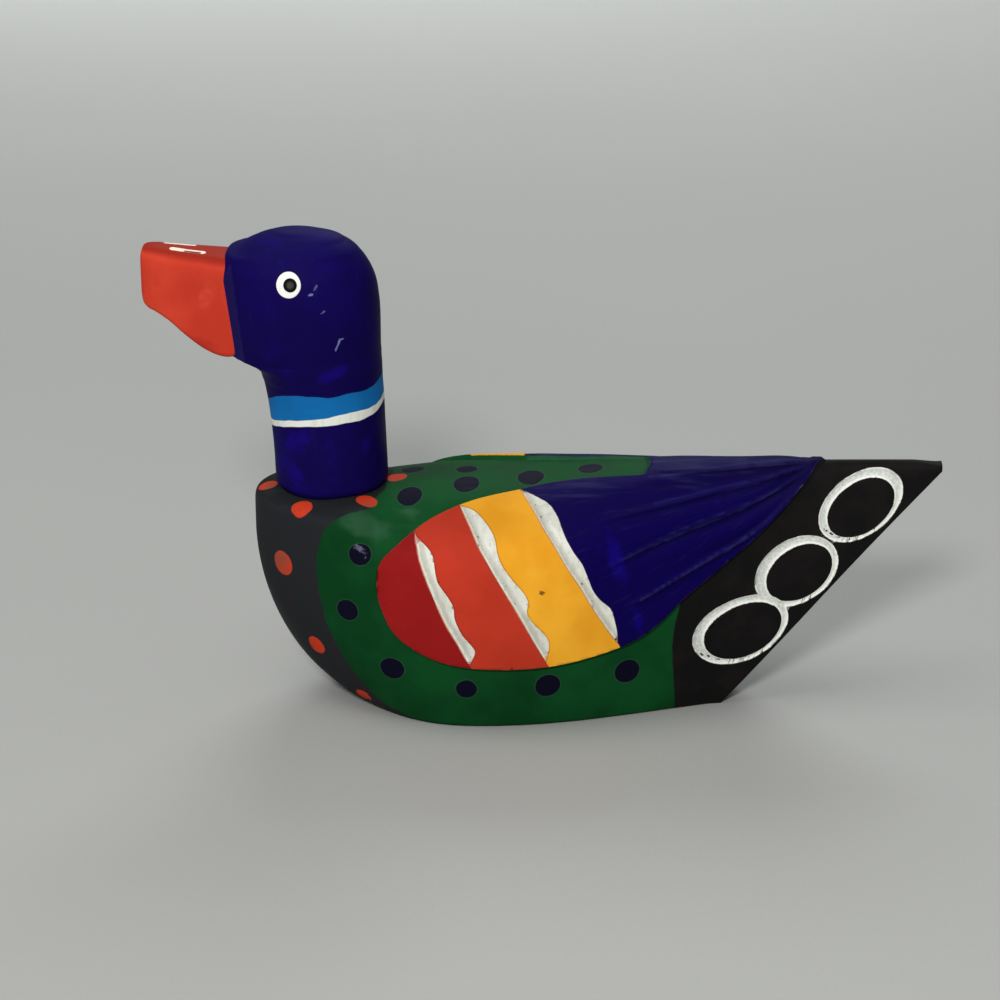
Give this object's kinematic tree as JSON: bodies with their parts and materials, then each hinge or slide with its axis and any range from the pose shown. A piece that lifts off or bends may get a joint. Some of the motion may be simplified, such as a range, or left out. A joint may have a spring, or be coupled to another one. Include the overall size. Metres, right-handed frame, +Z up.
{
  "type": "carved wooden duck figure",
  "caption": "Carved and painted wooden wedding duck with folded wings, a slant-cut tail and a separate upright head and neck on a flat base.",
  "frame": {"origin": "on the ground under the middle of the duck's length and width", "axes": "the duck faces -X, +Y is to its right, +Z is up"},
  "size_m": [0.1968, 0.0596, 0.1212],
  "materials": {
    "body_paint": "satin painted wood",
    "head_paint": "satin painted wood"
  },
  "bodies": {
    "root": {"body": "body_paint", "head_and_neck": "head_paint"}
  },
  "joints": []
}
